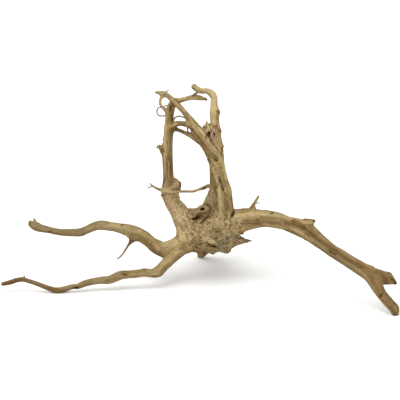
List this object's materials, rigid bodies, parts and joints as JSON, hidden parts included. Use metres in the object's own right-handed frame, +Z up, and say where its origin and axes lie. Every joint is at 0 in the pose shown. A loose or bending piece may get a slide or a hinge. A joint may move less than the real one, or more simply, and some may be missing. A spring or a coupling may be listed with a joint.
{
  "type": "spiderwood root",
  "caption": "Bare, weathered spiderwood root crown: a knobbly burl with crossing uprights, thin twigs and long winding side roots.",
  "frame": {"origin": "centre of the bounding box on the surface that the root stands on", "axes": "+X along the long side roots, towards the thick right root in the picture; +Y away from the viewer; +Z up along the uprights"},
  "size_m": [0.4921, 0.2094, 0.2521],
  "materials": {
    "bare_wood": "matt, weathered, without bark"
  },
  "bodies": {
    "root": {"spiderwood_root": "bare_wood"}
  },
  "joints": []
}
